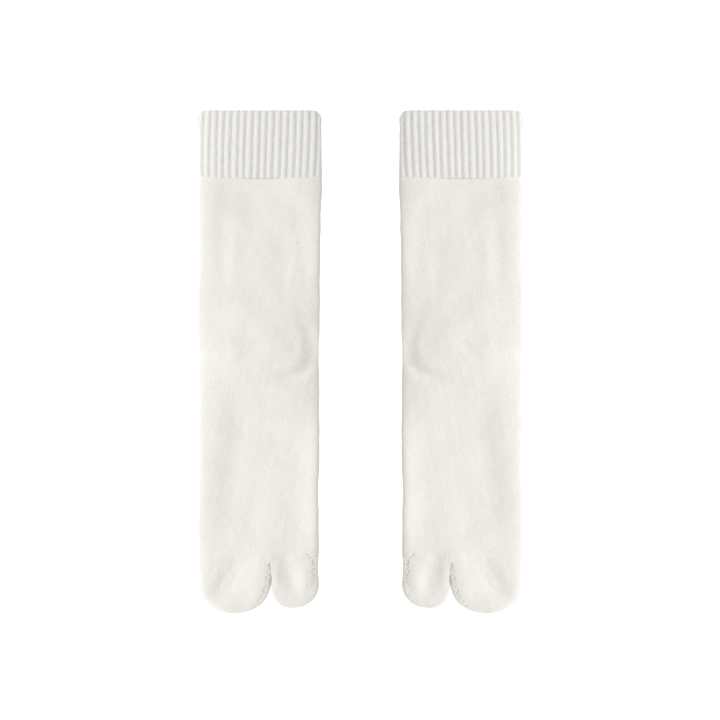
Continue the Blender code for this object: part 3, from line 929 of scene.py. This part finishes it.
def make_cuff(sock, finishes):
    """The ribbed band at the top, open at its end."""
    low, high = box_in_sock(sock, "cuff")
    foot, head = edges_across(sock, "cuff", (CUFF_SEAM_V + EDGE_ROW, high[1] - CUFF_CORNERS.outer - CUFF_LIP))
    ring, in_ribs, depth = cuff_ring_maker(foot, head, high[2])
    rings, along, outside_rows = cuff_rings(ring, (foot[1] - foot[0]) / 2, high[1])

    outside = rings[:outside_rows]
    normal = normals_of(outside)
    ripple = ripple_field(outside, RIB_RIPPLES, RIPPLE_SEED + CUFF_SEED)
    ripple = np.where(normal[..., 2] < -0.5, -np.abs(ripple) * UNDER_RIPPLE_SHARE, ripple)
    outside += normal * ripple[..., None]
    rings[..., 2] = np.maximum(rings[..., 2], 0.0)

    around = np.tile(np.append(in_ribs, RIBS) * WALES_PER_RIB * KNITS["rib_knit"].wale, (len(rings) + 1, 1))
    quads, uvs = grid_of(rings, around, along, True)
    shade = np.zeros(rings.shape[:2])
    # Painted shade in the grooves between the ribs, strongest where they are deepest
    shade[:outside_rows] = GROOVE_PAINTED_SHADE * depth
    faces, corner_uvs = quads.reshape(-1, 4).tolist(), uvs.reshape(-1, 4, 2).tolist()
    mesh = Mesh(rings.reshape(-1, 3), faces, corner_uvs, shade.ravel())
    piece = add_piece(sock, "cuff", mesh, finishes["rib_knit"])


# ===== The toe pockets and their seams =====


def seam_gaps(seam):
    """Where a seam's small gaps are: their places, the seam's direction there, and how strong each is."""
    at, way = even_steps(smooth_path(seam.path), seam.pitch)
    random = np.random.default_rng(RIPPLE_SEED + len(at))
    at = at + random.uniform(-GAP_JITTER, GAP_JITTER, at.shape)
    strengths = random.uniform(*GAP_STRENGTH, len(at))
    strengths[0] = GAP_STRENGTH[1]
    return at, way, strengths


def gap_field(u, v, seam):
    """How deep a seam's gaps, its soft valley and the notch in the cleft are at each place, and how much tan
    shadow the gaps and the notch are painted with.
    """
    at, way, strengths = seam_gaps(seam)
    nearest = np.full(u.shape, np.inf)
    for pu, pv in smooth_path(seam.path):
        nearest = np.minimum(nearest, (u - pu) ** 2 + (v - pv) ** 2)
    valley = np.exp(-nearest / VALLEY_WIDTH**2)
    gaps = np.zeros_like(u)
    for (pu, pv), (wu, wv), strength in zip(at, way, strengths):
        along = (u - pu) * wu + (v - pv) * wv
        off = (u - pu) * wv - (v - pv) * wu
        gaps = np.maximum(gaps, strength * np.exp(-((along / GAP_LENGTH) ** 2) - (off / GAP_WIDTH) ** 2))
    middle, half = (NOTCH_FROM + NOTCH_TO) / 2, (NOTCH_TO - NOTCH_FROM) / 2
    notch = np.exp(-(((u - NOTCH_U) / NOTCH_WIDTH) ** 2) - ((v - middle) / half) ** 4)
    return VALLEY_DEPTH * valley + GAP_DEPTH * gaps + NOTCH_DEPTH * notch, np.maximum(gaps, notch)


def pocket_section(lobe, v, inset):
    """A toe pocket's section, rounding off towards its tip."""

    def edge(side, start):
        if v >= start:
            return side
        round_off = float(rounded((start - v) / (start - lobe.tip_v - inset), LOBE_POWER))
        return lobe.tip_u + (side - lobe.tip_u) * round_off

    def fullness(length):
        return float(rounded(max(0.0, 1 - (v - lobe.tip_v - inset) / (length - inset)), ELLIPSE))

    middle = EDGE_HEIGHT * THICKNESS
    return Section(
        edge(lobe.outer + inset, lobe.outer_start),
        edge(lobe.inner - inset, lobe.inner_start),
        middle - (middle - inset) * fullness(LOBE_UNDER_LENGTH),
        middle + (THICKNESS - inset - middle) * fullness(LOBE_TOP_LENGTH),
    )


def like_the_foot(points, part, cleft_side, near_mouth):
    """A pocket's free side domed as the whole foot is where the two are joined."""
    edge_z = part.base + EDGE_HEIGHT * (part.top - part.base)
    middle, half = (part.outer + part.inner) / 2, (part.inner - part.outer) / 2
    free = (points[:, 0] - middle) / half * (1 if cleft_side == 0 else -1)
    crown = CROWNS[1 - cleft_side]
    own = np.where(free > 0, rounded(free, crown), 1.0)
    whole = rounded(points[:, 0] / FOOT_HALF_WIDTH, crown)
    share = np.maximum(whole, LEAST_DOME) / np.maximum(own, LEAST_DOME)
    above = np.maximum(0.0, points[:, 1] - edge_z)
    return np.column_stack([points[:, 0], points[:, 1] + above * near_mouth * (share - 1)])


def pocket_rings(lobe, cleft_side):
    """A pocket's outside and inside rings, the outside's sections, and the distance round each ring."""
    mouth_v = TOE_SEAM_AT_CLEFT - SEAM_GAP
    start = min(lobe.outer_start, lobe.inner_start)
    deep = start - lobe.tip_v
    widest = outline_length(tube_outline(pocket_section(lobe, mouth_v, 0.0), 0.0, CROWNS))
    columns = int(round(widest / POCKET_STEP))

    def ring(v, inset, edge_inset):
        along_cleft = float(eased((v - CLEFT_END_V) / (NOTCH_TO - CLEFT_END_V)))
        crowns = list(CROWNS)
        crowns[cleft_side] = CLEFT_CROWNS[0] + along_cleft * (CLEFT_CROWNS[1] - CLEFT_CROWNS[0])
        part = pocket_section(lobe, v, inset)
        outline = tube_outline(part, edge_inset or 0.0, Crowns(*crowns))
        near_mouth = float(eased((v - start) / (mouth_v - start)))
        points = like_the_foot(round_outline(outline, count=columns), part, cleft_side, near_mouth)
        near = near_mouth if edge_inset is None else 1.0
        shift = near * (toe_seam_v(points[:, 0]) - TOE_SEAM_AT_CLEFT)
        return np.column_stack([points[:, 0], v + shift, points[:, 1]]), part, outline_length(outline)

    def stations(inset, steps_straight, steps_round):
        turns = np.linspace(0.0, math.pi / 2, steps_round + 1)[1:]
        turns[-1] = math.radians(LAST_TURN)
        straight = np.linspace(mouth_v - SEAM_EDGE[-1].along - MOUTH_LEAD, start, steps_straight)
        return [*straight, *(start - (deep - inset) * np.sin(turns))]

    fine = stations(0.0, int((mouth_v - start) / POCKET_STEP), int(deep * TIP_ROWS / POCKET_STEP))
    made = [ring(mouth_v + SEAM_GAP / 2 - edge.along, 0.0, edge.inset) for edge in SEAM_EDGE]
    made += [ring(v, 0.0, None) for v in fine]
    made_inside = [ring(v, WALL, None) for v in [mouth_v, *stations(WALL, *INSIDE_STEPS)]]
    outside, sections, lengths = zip(*made)
    inside, _, inside_lengths = zip(*made_inside)
    return np.array(outside), np.array(inside), sections, np.array([*lengths[::-1], *inside_lengths])


def make_pocket(sock, piece_name, lobe, seam, cleft_side, finishes):
    """A closed pocket for the big toe or the other toes, and the stitches on its seam."""
    outside, inside, sections, lengths = pocket_rings(lobe, cleft_side)
    columns = outside.shape[1]
    near_tip = np.clip((outside[..., 1] - lobe.tip_v) / LOBE_TOP_LENGTH, 0.0, 1.0)
    normal = normals_of(outside)
    outside = uneven(outside, top_share(outside, sections) * near_tip, ())
    # The seam's gaps and the cleft's notch are sunk in, and painted with tan shadow
    depth, shade = gap_field(outside[..., 0], outside[..., 1], seam)
    upward = facing_up(normal)
    outside -= normal * (depth * upward)[..., None]
    outside[..., 2] = np.maximum(outside[..., 2], 0.0)

    rings = np.concatenate([outside[::-1], inside])
    shade = np.concatenate([(shade * upward)[::-1].ravel(), np.zeros(inside[..., 0].size), [0.0, 0.0]])
    steps = np.linalg.norm(np.diff(rings[:, columns // 4], axis=0), axis=1)
    along = np.concatenate([[0.0], np.cumsum(steps)])
    around = (np.linspace(0.0, 1.0, columns + 1)[None, :] - AROUND_START) * lengths[:, None]
    tips = np.array([rings[0].mean(axis=0), rings[-1].mean(axis=0)])
    tips[0, 1] = lobe.tip_v
    mesh = closed_at_tips(rings, tips, around, along, shade)
    piece = add_piece(sock, piece_name, mesh, finishes["toe_knit"])
    stitches = make_stitches(sock, piece_name, seam, mesh, finishes["thread"])


def thread_line(tree, spot, way, random):
    """A thread's middle line across the seam, dipping into the cloth at its ends, or None off the cloth."""
    slant = math.radians(random.uniform(*THREAD_SLANT))
    across = np.array([way[1], -way[0]]) * math.cos(slant) + way * math.sin(slant)
    reach = THREAD_REACH * random.uniform(*THREAD_REACH_SHARE)
    middle = tree.ray_cast((*spot, ABOVE_ALL), (0.0, 0.0, -1.0))[0]
    if middle is None:
        return None
    line = []
    for s in np.linspace(-1.0, 1.0, THREAD_POINTS):
        at = spot + across * reach * s
        ground = tree.ray_cast((*at, ABOVE_ALL), (0.0, 0.0, -1.0))[0] or middle
        line.append((*at, ground[2] + THREAD_RISE - (THREAD_RISE + THREAD_RADIUS + THREAD_SINK) * s**4))
    return np.array(line)


def thread_mesh(line, first):
    """The points, faces and knitting coordinates of a cord along a line, its points numbered from first."""
    points, faces, uvs = [], [], []
    for i, centre in enumerate(line):
        ahead = line[min(i + 1, len(line) - 1)] - line[max(i - 1, 0)]
        ahead /= np.linalg.norm(ahead)
        side = np.cross(ahead, (0.0, 0.0, 1.0))
        side /= np.linalg.norm(side)
        up = np.cross(side, ahead)
        fullness = THREAD_END + (1 - THREAD_END) * math.sin(math.pi * (i + 0.5) / THREAD_POINTS)
        for turn in np.arange(THREAD_SIDES) * 2 * math.pi / THREAD_SIDES:
            points.append(centre + THREAD_RADIUS * fullness * (math.cos(turn) * side + math.sin(turn) * up))
    for i in range(len(line) - 1):
        for k in range(THREAD_SIDES):
            a = first + i * THREAD_SIDES + k
            b = first + i * THREAD_SIDES + (k + 1) % THREAD_SIDES
            faces.append([a, b, b + THREAD_SIDES, a + THREAD_SIDES])
            corners = ((k, i), (k + 1, i), (k + 1, i + 1), (k, i + 1))
            uvs.append([[x * THREAD_UV[0] * MM, y * THREAD_UV[1] * MM] for x, y in corners])
    for start, order in ((first, -1), (first + (len(line) - 1) * THREAD_SIDES, 1)):
        faces.append([start + k for k in range(THREAD_SIDES)][::order])
        uvs.append([[0.0, 0.0]] * THREAD_SIDES)
    return points, faces, uvs


def make_stitches(sock, piece_name, seam, pocket, finish):
    """The loops of thread between a seam's gaps, each a short bent cord that lies on the pocket."""
    tree = BVHTree.FromPolygons(pocket.points.tolist(), pocket.faces)
    at, way, _ = seam_gaps(seam)
    random = np.random.default_rng(RIPPLE_SEED + len(pocket.points))
    between = (at[1:] + at[:-1]) / 2
    direction = way[1:] + way[:-1]
    direction /= np.hypot(*direction.T)[:, None]
    made = ([], [], [])
    for spot, its_way in zip(between, direction):
        line = thread_line(tree, spot, its_way, random)
        if line is not None:
            for whole, more in zip(made, thread_mesh(line, len(made[0]))):
                whole.extend(more)
    mesh = Mesh(np.array(made[0]), made[1], made[2], np.zeros(len(made[0])))
    return add_mesh(f"{sock.side}_{piece_name}_stitches", sock, mesh, finish)


# ===== The heel =====


def heel_profile(tall):
    """(inset, z) from the middle of the underside, round the edges of the two layers, to the top's middle."""
    rows = [(inset, 0.0) for inset in HEEL_INSETS]
    radius = HEEL_LAYER / 2
    for centre in (radius, tall - radius):
        for turn in np.radians(HEEL_TURNS):
            rows.append((HEEL_EDGE_INSET + radius * (1 - math.cos(turn)), centre + radius * math.sin(turn)))
    return rows + [(inset, tall) for inset in reversed(HEEL_INSETS)]


def heel_outline(inset):
    """The heel pocket's outline from above: straight at its mouth and rounded at its tip."""
    half = HEEL_HALF_WIDTH - inset
    turn = np.linspace(0.0, math.pi, HEEL_ARC_POINTS)
    depth = HEEL_TIP_V - HEEL_SHOULDER_V - inset
    arc = np.column_stack([half * np.cos(turn), HEEL_SHOULDER_V + depth * np.sin(turn)])
    mouth = [(u, HEEL_MOUTH_V + inset) for u in np.linspace(-half, half, HEEL_MOUTH_POINTS)]
    return round_outline(np.vstack([mouth, arc, mouth[:1]]), count=HEEL_COLUMNS)


def make_heel(sock, finishes):
    """The heel pocket, pressed flat in two layers beneath the leg."""
    tall = box_in_sock(sock, "heel")[1][2]
    rings = np.array([
        np.column_stack([heel_outline(inset), np.full(HEEL_COLUMNS, z)]) for inset, z in heel_profile(tall)
    ])
    normal = normals_of(rings)
    ripple = ripple_field(rings, CLOTH_RIPPLES[:2], RIPPLE_SEED + HEEL_SEED)
    edge_share = np.clip(1 - np.abs(rings[..., 2] - tall / 2) / (tall / 2), 0.0, 1.0)
    rings[..., :2] += normal[..., :2] * (ripple * edge_share)[..., None]
    around = np.tile(np.linspace(0.0, HEEL_ROUND, HEEL_COLUMNS + 1), (len(rings), 1))
    middles = [[0.0, (HEEL_MOUTH_V + HEEL_TIP_V) / 2, z] for z in (0.0, tall)]
    shade = np.zeros(rings[..., 0].size + len(middles))
    mesh = closed_at_tips(rings, middles, around, np.arange(len(rings)), shade)
    piece = add_piece(sock, "heel", mesh, finishes["heel_knit"])


def make_sock(side, mirror, finishes):
    """One sock's five pieces, and the stitches round its toe pockets."""
    sock = sock_frame(side, mirror)
    toes_low = box_in_sock(sock, "toes")[0]
    big_low, big_high = box_in_sock(sock, "big_toe")
    parting = (CLEFT_U - CLEFT_HALF, CLEFT_END_V), (CLEFT_U + CLEFT_HALF, CLEFT_END_V)
    toes = Lobe(toes_low[0], TOES_START_V, *parting[0], TOES_TIP_U, toes_low[1])
    big_toe = Lobe(*parting[1], big_high[0], BIG_TOE_START_V, BIG_TOE_TIP_U, big_low[1])
    make_heel(sock, finishes)
    make_leg_foot(sock, finishes)
    make_cuff(sock, finishes)
    make_pocket(sock, "toes", toes, TOES_SEAM, 1, finishes)
    make_pocket(sock, "big_toe", big_toe, BIG_TOE_SEAM, 0, finishes)


# ===== The stage =====

FLOOR_SIZE = 12.0
FLOOR_COLOUR = (0.85, 0.85, 0.85)
FLOOR_ROUGHNESS = 0.9
FLOOR_SPECULAR = 0.1
FLOOR_GLOW = 0.67
FLOOR_DROP = 0.0002  # how far it lies beneath the socks
WHITE = (1.0, 1.0, 1.0, 1.0)
WORLD_LIGHT = 0.54
VIEW_WIDTH = 0.576  # how much of the floor the picture shows
LENS = 135.0
SENSOR = 36.0
CAMERA_OFFSET = (-0.0004, 0.0014)

# Each sock's key light stands at its outer side, flagged off from the other sock and from the floor
Light = namedtuple("Light", "name side x y z width length power")
LIGHTS = (
    Light("key_right_sock", "right", -2.15, -0.15, 1.50, 0.90, 2.20, 41.4),
    Light("key_left_sock", "left", 2.15, -0.15, 1.50, 0.90, 2.20, 41.4),
    Light("overhead", None, 0.0, -0.45, 1.60, 1.20, 1.20, 3.4),
)


def make_floor():
    """A plain white floor, which glows a little so that it shows as white as the photo's background."""
    mesh = bpy.data.meshes.new("floor")
    half = FLOOR_SIZE / 2
    corners = ((-half, -half), (half, -half), (half, half), (-half, half))
    mesh.from_pydata([(x, y, -FLOOR_DROP) for x, y in corners], [], [(0, 1, 2, 3)])
    material = bpy.data.materials.new("floor")
    material.use_nodes = True
    shader = material.node_tree.nodes["Principled BSDF"]
    shader.inputs["Base Color"].default_value = (*FLOOR_COLOUR, 1.0)
    shader.inputs["Roughness"].default_value = FLOOR_ROUGHNESS
    shader.inputs["Specular IOR Level"].default_value = FLOOR_SPECULAR
    shader.inputs["Emission Color"].default_value = WHITE
    shader.inputs["Emission Strength"].default_value = FLOOR_GLOW
    mesh.materials.append(material)
    floor = bpy.data.objects.new("floor", mesh)
    bpy.context.scene.collection.objects.link(floor)
    floor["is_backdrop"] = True


def make_lights():
    """An even studio light from all round, a key light for each sock, and a weak one overhead."""
    world = bpy.data.worlds.new("studio")
    bpy.context.scene.world = world
    world.use_nodes = True
    background = world.node_tree.nodes["Background"]
    background.inputs["Color"].default_value = WHITE
    background.inputs["Strength"].default_value = WORLD_LIGHT
    for light in LIGHTS:
        data = bpy.data.lights.new(light.name, "AREA")
        data.shape = "RECTANGLE"
        data.size = light.width
        data.size_y = light.length
        data.energy = light.power
        thing = bpy.data.objects.new(light.name, data)
        thing.location = (light.x, light.y, light.z)
        thing.rotation_euler = (0.0, math.atan2(light.x, light.z), 0.0)
        thing.visible_camera = False
        bpy.context.scene.collection.objects.link(thing)
        if light.side:
            lit = bpy.data.collections.new(light.name)
            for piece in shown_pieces():
                if piece.name.startswith(light.side):
                    lit.objects.link(piece)
            thing.light_linking.receiver_collection = lit


def make_camera():
    """Straight above the pair, as far as the lens needs to take in the view's width."""
    low, high = CAD_BOX
    data = bpy.data.cameras.new("camera")
    data.lens = LENS
    data.sensor_width = SENSOR
    camera = bpy.data.objects.new("camera", data)
    height = VIEW_WIDTH * LENS / SENSOR + high.z / 2
    camera.location = (
        (low.x + high.x) / 2 + CAMERA_OFFSET[0],
        (low.y + high.y) / 2 + CAMERA_OFFSET[1],
        height,
    )
    bpy.context.scene.collection.objects.link(camera)
    bpy.context.scene.camera = camera


def main():
    """Both socks and the stage round them."""
    bpy.context.scene.view_settings.view_transform = "Standard"
    slots = {name: name for name in KNITS} | {"thread": "toe_knit"}
    finishes = {name: Finish(knit_material(name, knit), slots[name]) for name, knit in KNITS.items()}
    make_sock("right", 1, finishes)
    make_sock("left", -1, finishes)
    make_floor()
    make_lights()
    make_camera()


main()
boxes = {"cad": CAD_BOX, "visual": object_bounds()}
{name: [list(corner) for corner in box] for name, box in boxes.items()}
